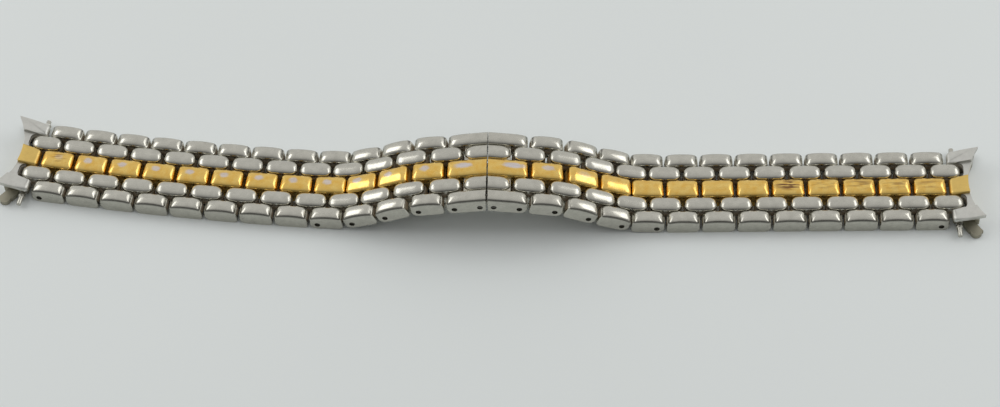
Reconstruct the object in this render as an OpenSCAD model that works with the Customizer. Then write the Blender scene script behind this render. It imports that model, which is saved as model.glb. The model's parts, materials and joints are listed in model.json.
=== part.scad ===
// Five-row brick-link metal watch strap, lying with its hidden folding clasp closed.
// +X runs along the right half, +Y to the back and +Z up. The origin is on the table,
// under the middle of the strap's outline. Millimetres.

/* [Rows] */
// Width of the strap across all five rows
strap_width = 14; // [13.4:0.1:16]
// Width of the gold centre row
gold_width = 3.42; // [3:0.02:3.8]
// Width of each brick row beside the gold
brick_width = 2.74; // [2.7:0.02:3]
// Gap between neighbouring rows
row_gap = 0.1; // [0.08:0.01:0.2]

/* [Links] */
// Distance between two outer links along the strap
link_pitch = 5.75; // [5.4:0.05:6.2]
// Gap between the ends of two pieces in one row, at pin height
end_gap = 0.24; // [0.2:0.01:0.3]
// Height of the pins over the underside
pin_height = 0.92; // [0.8:0.02:1.1]
// Height of the sharp edge on the outer side faces
edge_height = 2.8; // [2.5:0.05:3]
// Height of the domed tops at the middle of a piece
crown_height = 3.15; // [3:0.05:3.4]
// Height at which the brick and gold rows begin to dome
shoulder_height = 2.45; // [2.2:0.05:2.7]
// Lean of the end faces above the pins, degrees
end_draft = 5.4; // [4:0.1:7]
// Rounding of the top ends, seen from the side
top_round = 1; // [0.4:0.05:1.1]
// Rounding of the lower corner on the case side of each piece
low_round = 0.85; // [0.5:0.05:0.9]
// Rounding of the lower corner on the clasp side of each piece
inner_low_round = 0.18; // [0.1:0.02:0.3]
// Rounding of the brick pieces' ends, seen from above
brick_round = 1.05; // [0.6:0.05:1.35]
// Rounding of the gold pieces' ends, seen from above
gold_round = 0.8; // [0.4:0.05:1.2]
// Rounding of the side pieces' ends, seen from above
side_round = 0.6; // [0.3:0.05:0.9]

/* [Pins] */
// Radius of the link pins
pin_r = 0.45; // [0.4:0.01:0.5]
// Radial clearance of the pins where a link turns on them
turn_clear = 0.08; // [0.07:0.005:0.1]
// Radial clearance of the pins where they are held fast
held_clear = 0.012; // [0.01:0.001:0.02]
// Metal left over a blind pin hole
pin_cover = 0.6; // [0.4:0.05:0.8]
// Depth of a pin's end below the side face in a drilled hole
pin_recess = 0.3; // [0.2:0.05:0.5]
// Gap between a pin's end and the bottom of its blind hole
pin_play = 0.05; // [0.02:0.01:0.1]

/* [Lie of the strap] */
// Slope of the clasp end pieces, degrees
terminal_tilt = 7.8; // [6:0.1:9]
// Slope of the first outer link from the clasp, degrees
tilt_1 = 8.9; // [8:0.1:11]
// Slope of the second outer link, degrees
tilt_2 = 23.3; // [22:0.1:24]
// Slope of the third outer link, degrees
tilt_3 = 19.6; // [18:0.1:20]
// Slope of the fourth outer link, degrees
tilt_4 = 3.5; // [3:0.1:5]
// Turn of the left clasp end about the upright, degrees
clasp_sweep = 1; // [0:0.1:1.2]
// Sideways turn at each of the first hinges of the left half, degrees
near_sweep = 0.6; // [0:0.05:0.7]
// Sideways turn at each later hinge of the left half, degrees
far_sweep = 0.31; // [0:0.01:0.4]

/* [Clasp end pieces] */
// Reach of a clasp end piece from the joint line
terminal_reach = 6.65; // [6.4:0.05:7]
// Gap between the two clasp end pieces
clasp_gap = 0.3; // [0.26:0.02:0.4]
// Distance of the blade pin from the joint line
blade_pin_x = 1.05; // [1:0.05:1.1]
// Height of the blade slot over the underside
slot_height = 1.74; // [1.72:0.02:1.8]
// Thickness of the web under the gold cap
cap_web = 0.4; // [0.3:0.05:0.5]
// Rounding of the top edge at the joint line
joint_round = 0.12; // [0.08:0.02:0.16]
// Joint between a gold cap and the steel that holds it
cap_fit = 0.02; // [0.02:0.01:0.04]

/* [Folding clasp] */
// Distance of the bridge hinges from the joint line
hinge_x = 17.2; // [17:0.05:17.4]
// Height of the bridge hinges over the table
hinge_z = 1.25; // [1.2:0.05:1.3]
// Radius of the clasp's curve at the top of the blades
blade_curve = 40; // [39:0.5:42]
// Height of the blades' curve at the joint line
blade_apex = 5.65; // [5.55:0.05:5.7]
// Thickness of the blades
blade_thick = 0.7; // [0.6:0.05:0.7]
// Width of the blades
blade_width = 8; // [7:0.25:9]
// Width of the blade's neck and end barrel
neck_width = 5.4; // [4.5:0.1:5.8]
// Distance from the joint line at which the neck meets the blade
neck_reach = 3.9; // [3.8:0.05:4]
// Radius of the blade's end barrel
barrel_r = 0.72; // [0.68:0.01:0.75]
// Gap between the bridge and the folded blades
fold_gap = 0.2; // [0.15:0.05:0.3]
// Thickness of the bridge
bridge_thick = 0.9; // [0.8:0.05:1]
// Radius of the bridge's hinge knuckles
knuckle_r = 0.8; // [0.75:0.01:0.8]
// Width of the blade's knuckle between the bridge's lugs
knuckle_width = 3.8; // [3:0.1:4]
// Side clearance of the blade's knuckle
knuckle_side = 0.25; // [0.2:0.01:0.3]
// Clearance round the knuckles at the ends of the strips
knuckle_clear = 0.25; // [0.2:0.01:0.3]
// Distance of the bridge's lugs from the sides of the clasp
lug_inset = 0.2; // [0.1:0.05:0.4]
// Distance of the catch studs from the joint line
stud_x = 7.5; // [6.5:0.25:9]
// Radius of the catch studs
stud_r = 0.7; // [0.6:0.05:0.8]
// Clearance of the catch holes
stud_clear = 0.12; // [0.1:0.01:0.15]

/* [Case end links] */
// Radius of the watch case that the end fits
case_r = 12.5; // [12:0.25:14]
// Distance of the case from the spring bar on the centre line
case_x = 1.85; // [1.8:0.05:2.1]
// Reach of the last brick pieces past the spring bar
last_end = 1; // [0.95:0.05:1.05]
// Gap between the last brick pieces and the pocket floors, beside the end gap
pocket_gap = 0.15; // [0.1:0.05:0.2]
// Rise of the end link's top from the strap to its horns
horn_rise = 1.3; // [0.9:0.05:1.4]
// Thickness of the end link's top plate
plate_thick = 0.75; // [0.6:0.05:0.9]
// Thickness of the wall that faces the case
wall_thick = 0.6; // [0.5:0.05:0.7]
// Depth of the pocket floors below the raised bars
pocket_drop = 0.5; // [0.3:0.05:0.6]
// Distance of the knuckles and the wall from the strap's sides
ear_inset = 1.1; // [0.9:0.05:1.3]
// Thickness of the gold block
gold_thick = 1.1; // [0.9:0.05:1.2]
// Height of the lip over the table
lip_lift = 0.1; // [0.05:0.05:0.2]
// Distance of the lug tongues from the case's edge
lip_set = 0.65; // [0.6:0.05:0.7]
// Reach of the lug tongues past each side
tongue_reach = 1.8; // [1.2:0.1:2]
// Width of the lug tongues
tongue_width = 1.9; // [1.6:0.1:2]
// Thickness of the lug tongues
tongue_thick = 0.8; // [0.6:0.05:0.9]
// Radius of the spring bar's tube
bar_r = 0.6; // [0.55:0.01:0.62]
// Rounding of the end link's noses, seen from the side
nose_round = 0.6; // [0.3:0.05:0.7]
// Rounding of the raised bars' corners, seen from above
ear_round = 0.7; // [0.3:0.05:0.9]
// Radius of the spring bar's necks
neck_r = 0.24; // [0.2:0.01:0.24]
// Distance of the tube's ends from the strap's sides
tube_inset = 0.5; // [0.45:0.01:0.55]
// Width of the spring bar's necks and flanges
flange_width = 0.4; // [0.36:0.01:0.44]
// Radius of the spring bar's tips
tip_r = 0.4; // [0.35:0.01:0.45]
// Reach of the tips past the strap's sides
tip_reach = 1.9; // [1.5:0.1:2]

/* [Hidden] */
OUTER_COUNT = 12;
INNER_COUNT = OUTER_COUNT + 1;
LAST = 2 * OUTER_COUNT + 2;
SIDES = [1, -1];
NEAR_HINGES = 5;
// links of each half, from the clasp, whose case-side pin hole is drilled through
DRILLED = [1, 2, 3, 4, OUTER_COUNT];
CORNER_STEPS = 4;
DOME_STEPS = 8;
// narrows the dome a little towards its edges
DOME_POWER = 0.1;
ROUND_FN = 32;
FINE_FN = 96;
BIG = 60;
// how far a cut reaches past what it cuts, and the radius of a corner that stays sharp
SPARE = 1;
SHARP = 0.02;
half_pitch = link_pitch / 2;
piece_end = link_pitch / 4 - end_gap / 2;
side_width = (strap_width - gold_width) / 2 - brick_width - 2 * row_gap;
brick_y = gold_width / 2 + row_gap + brick_width / 2;
side_y = (strap_width - side_width) / 2;
turn_r = pin_r + turn_clear;
held_r = pin_r + held_clear;
terminal_pin_x = terminal_reach - link_pitch / 4;
web_top = slot_height + cap_web;
half_brick_end = terminal_pin_x - piece_end - end_gap;

function two(n) = n < 10 ? str("0", n) : str(n);
function half_name(side) = side > 0 ? "right" : "left";
function outer_name(side, k) = str(half_name(side), "_outer_", two(k));
function inner_name(side, k) = str(half_name(side), "_inner_", two(k));
function part_name(side, what) = str(half_name(side), "_", what);

// slope of a piece: 0 is the clasp end piece, even numbers are the outer links
tilts = [terminal_tilt, tilt_1, tilt_2, tilt_3, tilt_4];
function even_tilt(s) = s / 2 < len(tilts) ? tilts[s / 2] : 0;
function tilt(s) = s % 2 == 0 ? even_tilt(s) : (even_tilt(s - 1) + even_tilt(s + 1)) / 2;
// turn about the upright: only the left half wanders off the straight line
function sweep(side, s) = side > 0 ? 0 :
    -(clasp_sweep + near_sweep * min(s, NEAR_HINGES) + far_sweep * max(s - NEAR_HINGES, 0));
function heading(side, s) = [
    side * cos(tilt(s)) * cos(sweep(side, s)),
    side * cos(tilt(s)) * sin(sweep(side, s)),
    -sin(tilt(s))
];
function climb(s) = s > LAST ? 0 : half_pitch * sin(tilt(s)) + climb(s + 1);
// height of the pins' plane at the joint line
apex_z = pin_height + climb(1) + terminal_pin_x * sin(terminal_tilt);
function hinge_at(side, s) = s == 1
    ? [0, 0, apex_z] + terminal_pin_x * heading(side, 0)
    : hinge_at(side, s - 1) + half_pitch * heading(side, s - 1);

// puts a piece drawn along its own +X, with its first pin at the origin, in its place
module place(side, s) {
    translate(s == 0 ? [0, 0, apex_z] : hinge_at(side, s))
        rotate([0, 0, sweep(side, s)])
            rotate([0, side * tilt(s), 0])
                mirror([side < 0 ? 1 : 0, 0, 0])
                    children();
}

// a corner of an outline, rounded with short straight steps
function corner(a, p, b, r) = let(
    u = (a - p) / norm(a - p),
    v = (b - p) / norm(b - p),
    half = acos(u * v) / 2,
    mid = p + (u + v) / norm(u + v) * (r / sin(half)),
    s1 = p + u * (r / tan(half)),
    s2 = p + v * (r / tan(half)),
    a1 = atan2(s1[1] - mid[1], s1[0] - mid[0]),
    a2 = atan2(s2[1] - mid[1], s2[0] - mid[0]),
    turn = (a2 - a1 + 540) % 360 - 180
) [for (i = [0:CORNER_STEPS]) let(t = a1 + turn * i / CORNER_STEPS) mid + r * [cos(t), sin(t)]];
function rounded(points, radii) = let(n = len(points)) [
    for (i = [0:n - 1]) each corner(points[(i + n - 1) % n], points[i], points[(i + 1) % n], radii[i])
];

// extrudes an outline drawn in x and z over a stretch of y
module across(y0, y1) {
    translate([0, y1, 0])
        rotate([90, 0, 0])
            linear_extrude(y1 - y0)
                children();
}
// extrudes an outline drawn in y and z over a stretch of x
module along(x0, x1) {
    translate([x0, 0, 0])
        rotate([90, 0, 90])
            linear_extrude(x1 - x0)
                children();
}
module pin_rod(x, y0, y1, r) {
    translate([x, y1, 0])
        rotate([90, 0, 0])
            cylinder(h = y1 - y0, r = r, $fn = ROUND_FN);
}

// side outline of a link piece from x0 to x1, with z counted from the pins
function lean(z) = z * tan(end_draft);
module side_outline(x0, x1) {
    top = crown_height - pin_height;
    polygon(rounded(
        [[x0, -pin_height], [x1, -pin_height], [x1, 0], [x1 - lean(top), top], [x0 + lean(top), top], [x0, 0]],
        [inner_low_round, low_round, SHARP, top_round, top_round, SHARP]
    ));
}
// cross outline of a row, domed between two shoulder heights
module cross_outline(y0, y1, z0, z1) {
    top = crown_height - pin_height;
    polygon([
        [y0, -pin_height - SPARE],
        [y1, -pin_height - SPARE],
        for (i = [0:DOME_STEPS]) let(
            t = i / DOME_STEPS,
            edge = z1 + (z0 - z1) * t - pin_height
        ) [y1 + (y0 - y1) * t, edge + (top - edge) * sqrt(1 - pow(2 * t - 1, 2)) * (4 * t * (1 - t)) ^ DOME_POWER]
    ]);
}
module plan_outline(x0, x1, y0, y1, r0, r1) {
    polygon(rounded([[x0, y0], [x1, y0], [x1, y1], [x0, y1]], [r0, r0, r1, r1]));
}
// a domed piece of one row; z0 and z1 are the shoulder heights at its two sides
module piece(x0, x1, y0, y1, z0, z1, r0, r1) {
    intersection() {
        across(y0, y1) side_outline(x0, x1);
        along(x0, x1) cross_outline(y0, y1, z0, z1);
        translate([0, 0, -pin_height])
            linear_extrude(crown_height)
                plan_outline(x0, x1, y0, y1, r0, r1);
    }
}
module front_row(x0, x1) {
    piece(x0, x1, -strap_width / 2, -strap_width / 2 + side_width, edge_height, shoulder_height,
        side_round / 2, side_round);
}
module back_row(x0, x1) {
    mirror([0, 1, 0]) front_row(x0, x1);
}
module gold_row(x0, x1) {
    piece(x0, x1, -gold_width / 2, gold_width / 2, shoulder_height, shoulder_height, gold_round, gold_round);
}
module brick_row(x0, x1, y) {
    piece(x0, x1, y - brick_width / 2, y + brick_width / 2, shoulder_height, shoulder_height,
        brick_round, brick_round);
}

blind_y = strap_width / 2 - pin_cover;
through_y = strap_width / 2 + SPARE;
pin_end_y = strap_width / 2 - pin_recess;
function front_hole_y(drilled) = drilled ? through_y : blind_y;
function front_pin_y(drilled) = drilled ? pin_end_y : blind_y - pin_play;
function is_drilled(k) = len([for (d = DRILLED) if (d == k) d]) > 0;

// two side pieces and the gold piece of an outer link on its two fixed pins
module outer_link(k) {
    x0 = -piece_end;
    x1 = half_pitch + piece_end;
    module holes() {
        pin_rod(0, -blind_y, blind_y, held_r);
        pin_rod(half_pitch, -front_hole_y(is_drilled(k)), blind_y, held_r);
    }
    color("silver") {
        difference() {
            front_row(x0, x1);
            holes();
        }
        difference() {
            back_row(x0, x1);
            holes();
        }
    }
    color("gold")
        difference() {
            gold_row(x0, x1);
            holes();
        }
    color("gray") {
        pin_rod(0, -front_pin_y(false), front_pin_y(false), pin_r);
        pin_rod(half_pitch, -front_pin_y(is_drilled(k)), front_pin_y(false), pin_r);
    }
}
// the two brick pieces of an inner link
module inner_link(k) {
    last = k == INNER_COUNT;
    color("silver")
        for (y = [-brick_y, brick_y])
            difference() {
                brick_row(-piece_end, half_pitch + (last ? last_end : piece_end), y);
                pin_rod(0, -through_y, through_y, turn_r);
                pin_rod(half_pitch, -through_y, through_y, last ? bar_r + turn_clear : turn_r);
            }
}

// clasp end piece: side rows, half bricks and a web under the gold cap
module terminal_outline(x1) {
    top = crown_height - pin_height;
    face = clasp_gap / 2;
    lean_in = tan(terminal_tilt);
    polygon(rounded(
        [
            [face + pin_height * lean_in, -pin_height],
            [x1, -pin_height],
            [x1, 0],
            [x1 - lean(top), top],
            [face - top * lean_in, top]
        ],
        [inner_low_round, low_round, SHARP, top_round, joint_round]
    ));
}
module terminal_row(x1, y0, y1, z0, z1, r0, r1) {
    intersection() {
        across(y0, y1) terminal_outline(x1);
        along(-SPARE, x1) cross_outline(y0, y1, z0, z1);
        translate([0, 0, -pin_height])
            linear_extrude(crown_height)
                polygon(rounded([[-SPARE, y0], [x1, y0], [x1, y1], [-SPARE, y1]], [SHARP, r0, r1, SHARP]));
    }
}
module blade_slot() {
    slot_y = neck_width / 2 + knuckle_side;
    translate([-SPARE, -slot_y, -pin_height - SPARE])
        cube([SPARE + half_brick_end + end_gap, 2 * slot_y, slot_height + SPARE]);
}
module terminal() {
    x1 = terminal_pin_x + piece_end;
    y_front = -strap_width / 2;
    color("silver")
        difference() {
            union() {
                for (m = [0, 1])
                    mirror([0, m, 0]) {
                        terminal_row(x1, y_front, y_front + side_width, edge_height, shoulder_height,
                            side_round / 2, side_round);
                        terminal_row(half_brick_end, -brick_y - brick_width / 2, -brick_y + brick_width / 2,
                            shoulder_height, shoulder_height, brick_round, brick_round);
                    }
                intersection() {
                    across(-side_y, side_y) terminal_outline(half_brick_end);
                    translate([-SPARE, -side_y, -BIG])
                        cube([BIG, 2 * side_y, BIG + web_top - pin_height]);
                }
            }
            blade_slot();
            pin_rod(blade_pin_x, -through_y, blind_y, held_r);
            pin_rod(terminal_pin_x, -through_y, blind_y, held_r);
        }
    color("gold")
        difference() {
            terminal_row(x1, -gold_width / 2, gold_width / 2, shoulder_height, shoulder_height,
                gold_round, gold_round);
            translate([-SPARE, -gold_width, -BIG])
                cube([SPARE + half_brick_end + end_gap / 2, 2 * gold_width, BIG + web_top + cap_fit - pin_height]);
            pin_rod(terminal_pin_x, -through_y, through_y, held_r);
        }
    color("gray")
        for (x = [blade_pin_x, terminal_pin_x])
            pin_rod(x, -pin_end_y, blind_y - pin_play, pin_r);
}

// clasp: curved strips in the plane of x and z, drawn for the right-hand side
module clasp_frame(side) {
    rotate([0, 0, side > 0 ? 0 : -clasp_sweep])
        mirror([side < 0 ? 1 : 0, 0, 0])
            children();
}
module curved_strip(apex, thick, x0, x1) {
    intersection() {
        difference() {
            translate([0, apex - blade_curve]) circle(r = blade_curve, $fn = FINE_FN * 4);
            translate([0, apex - blade_curve]) circle(r = blade_curve - thick, $fn = FINE_FN * 4);
        }
        translate([x0, -BIG / 2]) square([x1 - x0, BIG]);
    }
}
function curve_z(apex, x) = apex - blade_curve + sqrt(blade_curve * blade_curve - x * x);
neck_pin = [blade_pin_x * cos(terminal_tilt), apex_z - blade_pin_x * sin(terminal_tilt)];
neck_foot = [neck_reach, curve_z(blade_apex, neck_reach) - blade_thick / 2];
bridge_apex = blade_apex - blade_thick - fold_gap;
lug_room = knuckle_r + knuckle_clear;
lug_width = blade_width - 2 * lug_inset;
module blade() {
    reach = hinge_x - lug_room;
    neck_way = (neck_foot - neck_pin) / norm(neck_foot - neck_pin);
    neck_side = [-neck_way[1], neck_way[0]] * blade_thick / 2;
    color("silver")
        difference() {
            union() {
                across(-blade_width / 2, blade_width / 2)
                    curved_strip(blade_apex, blade_thick, neck_foot[0] - blade_thick / 2, reach);
                across(-knuckle_width / 2, knuckle_width / 2)
                    curved_strip(blade_apex, blade_thick, reach - knuckle_r, hinge_x - knuckle_r / 4);
                across(-neck_width / 2, neck_width / 2)
                    polygon([neck_pin + neck_side, neck_pin - neck_side, neck_foot - neck_side, neck_foot + neck_side]);
                translate([0, 0, neck_pin[1]])
                    pin_rod(neck_pin[0], -neck_width / 2, neck_width / 2, barrel_r);
                translate([0, 0, hinge_z])
                    pin_rod(hinge_x, -knuckle_width / 2, knuckle_width / 2, knuckle_r);
            }
            translate([0, 0, neck_pin[1]])
                pin_rod(neck_pin[0], -through_y, through_y, turn_r);
            translate([0, 0, hinge_z])
                pin_rod(hinge_x, -through_y, through_y, turn_r);
            catch_stud(stud_r + stud_clear, 2 * (bridge_thick + fold_gap + blade_thick));
        }
}
// the studs point along the blade's swing about its hinge
module catch_stud(r, height) {
    foot_z = curve_z(bridge_apex, stud_x) - bridge_thick / 2;
    swing = atan2(foot_z - hinge_z, hinge_x - stud_x);
    translate([stud_x, 0, foot_z])
        rotate([0, swing, 0])
            cylinder(h = height, r = r, $fn = ROUND_FN);
}
module bridge() {
    reach = hinge_x - lug_room;
    strip_end = hinge_x - knuckle_r / 2;
    lug_y = knuckle_width / 2 + knuckle_side;
    color("silver") {
        rotate([0, 0, -clasp_sweep / 2])
            difference() {
                union() {
                    across(-blade_width / 2, blade_width / 2)
                        curved_strip(bridge_apex, bridge_thick, -strip_end, strip_end);
                    for (m = [0, 1])
                        mirror([m, 0, 0]) {
                            translate([0, 0, hinge_z])
                                pin_rod(hinge_x, -lug_width / 2, lug_width / 2, knuckle_r);
                            catch_stud(stud_r, bridge_thick / 2 + fold_gap + blade_thick);
                        }
                }
                for (m = [0, 1])
                    mirror([m, 0, 0]) {
                        translate([0, 0, hinge_z])
                            pin_rod(hinge_x, -through_y, through_y, held_r);
                        translate([reach, -lug_y, -SPARE])
                            cube([2 * lug_room, 2 * lug_y, hinge_x]);
                    }
            }
    }
    color("gray")
        rotate([0, 0, -clasp_sweep / 2])
            for (m = [0, 1])
                mirror([m, 0, 0])
                    translate([0, 0, hinge_z])
                        pin_rod(hinge_x, -lug_width / 2, lug_width / 2, pin_r);
}

// case end link: a thin sloping top plate on two cheeks, a wall along the case and two tongues
bar_y = strap_width / 2;
ear_in = bar_y - side_width;
cheek_y = bar_y - ear_inset;
lip_y = bar_y + tongue_reach;
under_z = -pin_height + lip_lift;
case_centre = case_x + case_r;
function case_edge(y) = case_centre - sqrt(case_r * case_r - y * y);
horn_x = case_edge(bar_y);
ear_x0 = lean(edge_height - pin_height) - piece_end;
horn_slope = atan(horn_rise / (horn_x + piece_end));
floor_height = edge_height - pocket_drop;
pocket_x = last_end + end_gap + pocket_gap;
tongue_mid = case_r + lip_set + tongue_width / 2;
scoop_round = brick_round - row_gap;
tube_y = bar_y - tube_inset;
flange_y = tube_y + flange_width;
tip_y = flange_y + flange_width;
function top_z(x, h) = h - pin_height + (x + piece_end) * tan(horn_slope);
// outline of a sloping plate whose top starts at height h
module end_band(x0, h, thick, nose) {
    polygon(rounded(
        [
            [x0, top_z(x0, h) - thick],
            [horn_x, top_z(horn_x, h) - thick],
            [horn_x, top_z(horn_x, h)],
            [x0, top_z(x0, h)]
        ],
        [SHARP, SHARP, SHARP, nose]
    ));
}
// plan of a bar from y0 to y1 with rounded corners on the strap's side
module end_plan(x0, y0, y1, r0, r1) {
    translate([0, 0, -BIG / 2])
        linear_extrude(BIG)
            polygon(rounded([[x0, y0], [BIG, y0], [BIG, y1], [x0, y1]], [r0, SHARP, SHARP, r1]));
}
module case_cut() {
    translate([case_centre, 0, -BIG / 2])
        cylinder(h = BIG, r = case_r, $fn = FINE_FN);
}
module gold_block(spare) {
    y = gold_width / 2 + spare;
    x0 = ear_x0 - spare;
    intersection() {
        across(-y, y) end_band(x0, edge_height + spare, gold_thick + 2 * spare, nose_round);
        end_plan(x0, -y, y, gold_round, gold_round);
    }
}
// floor of the pockets, scooped out round the ends of the last brick pieces
module pocket_floor() {
    difference() {
        across(-ear_in - SHARP, ear_in + SHARP)
            end_band(pocket_x - scoop_round, floor_height, plate_thick, SHARP);
        for (m = [0, 1])
            mirror([0, m, 0])
                translate([0, 0, -BIG / 2])
                    linear_extrude(BIG)
                        polygon(rounded(
                            [[-BIG, gold_width / 2], [pocket_x, gold_width / 2], [pocket_x, ear_in], [-BIG, ear_in]],
                            [SHARP, scoop_round, scoop_round, SHARP]
                        ));
    }
}
module end_shell() {
    for (m = [0, 1])
        mirror([0, m, 0]) {
            intersection() {
                across(-bar_y, -ear_in) end_band(ear_x0, edge_height, plate_thick, nose_round);
                end_plan(ear_x0, -bar_y, -ear_in, ear_round, ear_round / 2);
            }
            // cheeks over the spring bar that carry the raised bars
            across(-cheek_y, -ear_in)
                polygon([[0, under_z], [horn_x, under_z], [horn_x, top_z(horn_x, floor_height)],
                    [-pin_height, top_z(-pin_height, floor_height)], [-pin_height, 0], [0, 0]]);
            pin_rod(0, -cheek_y, -ear_in, pin_height);
        }
    pocket_floor();
    // middle block between the brick pieces, under the gold block
    across(-gold_width / 2, gold_width / 2)
        polygon([[-pin_height, 0], [pocket_x + plate_thick, 0],
            [pocket_x + plate_thick, top_z(pocket_x + plate_thick, floor_height) - plate_thick / 2],
            [-pin_height, top_z(-pin_height, edge_height) - gold_thick]]);
    pin_rod(0, -gold_width / 2, gold_width / 2, pin_height);
}
// wall that faces the case, below the top plate
module end_wall() {
    intersection() {
        translate([case_centre, 0, 0])
            cylinder(h = BIG, r = case_r + wall_thick, center = true, $fn = FINE_FN);
        across(-cheek_y, cheek_y)
            polygon([[0, under_z], [horn_x, under_z], [horn_x, top_z(horn_x, floor_height) - plate_thick / 2],
                [0, top_z(0, floor_height) - plate_thick / 2]]);
    }
}
// tongue that reaches past the side under the raised bar, bent like the case
module tongue() {
    a = asin(ear_in / tongue_mid);
    b = asin((lip_y - tongue_width / 2) / tongue_mid);
    far = 2 * tongue_mid;
    translate([case_centre, 0, under_z])
        linear_extrude(tongue_thick) {
            intersection() {
                difference() {
                    circle(r = tongue_mid + tongue_width / 2, $fn = FINE_FN);
                    circle(r = tongue_mid - tongue_width / 2, $fn = FINE_FN);
                }
                polygon([[0, 0], far * [-cos(a), -sin(a)], far * [-cos(b), -sin(b)]]);
            }
            translate(tongue_mid * [-cos(b), -sin(b)])
                circle(r = tongue_width / 2, $fn = ROUND_FN);
        }
}
module end_link() {
    color("silver")
        difference() {
            union() {
                end_shell();
                end_wall();
                for (m = [0, 1])
                    mirror([0, m, 0]) tongue();
            }
            case_cut();
            pin_rod(0, -through_y, through_y, bar_r + held_clear);
            gold_block(cap_fit);
        }
    color("gold")
        difference() {
            gold_block(0);
            case_cut();
            pin_rod(0, -through_y, through_y, bar_r + held_clear);
        }
}
// spring bar: tube, necks, flanges and tips
module spring_bar() {
    flange_mid = (flange_y + tip_y) / 2;
    color("silver")
        union() {
            pin_rod(0, -tube_y, tube_y, bar_r);
            pin_rod(0, -flange_mid, flange_mid, neck_r);
            for (m = [0, 1])
                mirror([0, m, 0]) {
                    pin_rod(0, flange_y, tip_y, bar_r);
                    pin_rod(0, flange_mid, bar_y + tip_reach, tip_r);
                }
        }
}

// the middle of the strap's outline, which is the origin
end_turn = sweep(-1, LAST);
left_end = hinge_at(-1, LAST);
right_end = hinge_at(1, LAST);
middle = [
    (right_end[0] + horn_x + left_end[0] - horn_x * cos(end_turn) + bar_y * sin(end_turn)) / 2,
    (left_end[1] + lip_y * cos(end_turn) - case_x * sin(end_turn) - bar_y - tip_reach) / 2,
    0
];
module lay() {
    translate(-middle) children();
}

lay() bridge();
for (side = SIDES) {
    lay() clasp_frame(side) blade();
    lay() place(side, 0) terminal();
    for (k = [1:OUTER_COUNT])
        lay() place(side, 2 * k) outer_link(k);
    for (k = [1:INNER_COUNT])
        lay() place(side, 2 * k - 1) inner_link(k);
    lay() place(side, LAST) end_link();
    lay() place(side, LAST) spring_bar();
}
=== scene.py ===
"""Five-row brick-link watch strap in steel and gold plate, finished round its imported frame."""

import json
import math
from types import SimpleNamespace

import bmesh
import bpy
from bpy.props import FloatProperty, FloatVectorProperty, PointerProperty
from mathutils import Matrix, Vector

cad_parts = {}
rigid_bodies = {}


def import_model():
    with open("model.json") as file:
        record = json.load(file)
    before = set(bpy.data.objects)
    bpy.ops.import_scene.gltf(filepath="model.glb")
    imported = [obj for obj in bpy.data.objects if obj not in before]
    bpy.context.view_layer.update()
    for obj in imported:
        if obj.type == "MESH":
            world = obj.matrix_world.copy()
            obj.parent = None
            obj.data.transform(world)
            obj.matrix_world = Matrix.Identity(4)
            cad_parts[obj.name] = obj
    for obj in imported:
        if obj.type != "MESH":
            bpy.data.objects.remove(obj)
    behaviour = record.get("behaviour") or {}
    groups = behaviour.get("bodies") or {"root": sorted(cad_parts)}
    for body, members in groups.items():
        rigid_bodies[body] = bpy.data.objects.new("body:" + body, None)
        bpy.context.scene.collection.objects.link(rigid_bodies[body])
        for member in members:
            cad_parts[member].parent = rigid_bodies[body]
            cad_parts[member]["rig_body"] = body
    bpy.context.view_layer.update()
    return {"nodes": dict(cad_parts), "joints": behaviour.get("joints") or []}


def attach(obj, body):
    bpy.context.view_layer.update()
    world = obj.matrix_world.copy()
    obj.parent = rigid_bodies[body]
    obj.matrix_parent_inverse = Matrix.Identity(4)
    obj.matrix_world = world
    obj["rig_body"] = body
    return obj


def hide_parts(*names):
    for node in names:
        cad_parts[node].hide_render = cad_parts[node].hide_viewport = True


bl_info = {
    "name": "Brick-link watch strap",
    "version": (1, 0, 0),
    "blender": (4, 5, 0),
    "location": "View3D > Sidebar > Strap",
    "description": "Models and finishes a two-tone link strap with a hidden folding clasp",
    "category": "Add Mesh",
}

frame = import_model()
JOINTS = {joint["name"]: joint for joint in frame["joints"]}

MM = 0.001
HALVES = ("right", "left")
OUTER_COUNT = 12
INNER_COUNT = OUTER_COUNT + 1
LAST_SEGMENT = 2 * INNER_COUNT
DRILLED = (1, 2, 3, 4, OUTER_COUNT)
PLACE_IN_LINK = "place_in_link"
WORN = "worn"
SCRATCHED = "scratched"
# Attribute that marks where a dark line of painted shade runs along the side pieces' edge
PAINTED_CREASE_SHADE = "crease"
SMOOTH_BELOW = math.radians(32)
# Lengths of the shapes, in millimetres
PIN_PLAY = 0.05
BLADE_PIN_FORWARD = 0.18
GOLD_FIT = 0.02
PIN_ROUND = 0.12
JOINT_ROUND = 0.15
DROOP_START = 0.3
CLOSEST_RINGS = 0.012
FAR_DOWN_AND_UP = (-5, 8)
# Angles of the rings on the rounded foot and on the dome of a piece, in degrees
FOOT_TURNS = (0, 12, 28, 45, 65, 90)
DOME_TURNS = (0, 10, 20, 30, 39, 48, 56, 63, 70, 76, 81, 85)
# Least share of a row's half width at its top, and the number of cuts in a long side
THINNEST_SHARE = 0.05
LONG_SIDE_CUTS = 9
# Where in a link its finishes, its painted shade and its painted light set in or end, in millimetres
# Reach and spread of the painted crease shade, a dark line painted along the side pieces' edge
PAINTED_CREASE_REACH = 0.26
PAINTED_CREASE_SPREAD = 0.4
GRIME_SIDES = (6.6, 6.4)
RUBBED_UNDERSIDE = (0.06, 0.24)
# Heights over which the end links' colour turns darker and browner towards the foot
DARKER_FOOT_HEIGHTS = (0.6, 0.2)
# Painted light: where the end links' low pocket floors get a pale tone without shine, standing in for their
# bright lips
PAINTED_LIGHT_SIDES = (5.2, 4.9)
PAINTED_LIGHT_HEIGHTS = (1.7, 1.4)
WORN_Y = 0.22
WORN_HALF_WIDTH = 0.52
WORN_HEIGHTS = (1.8, 1.4)
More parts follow.
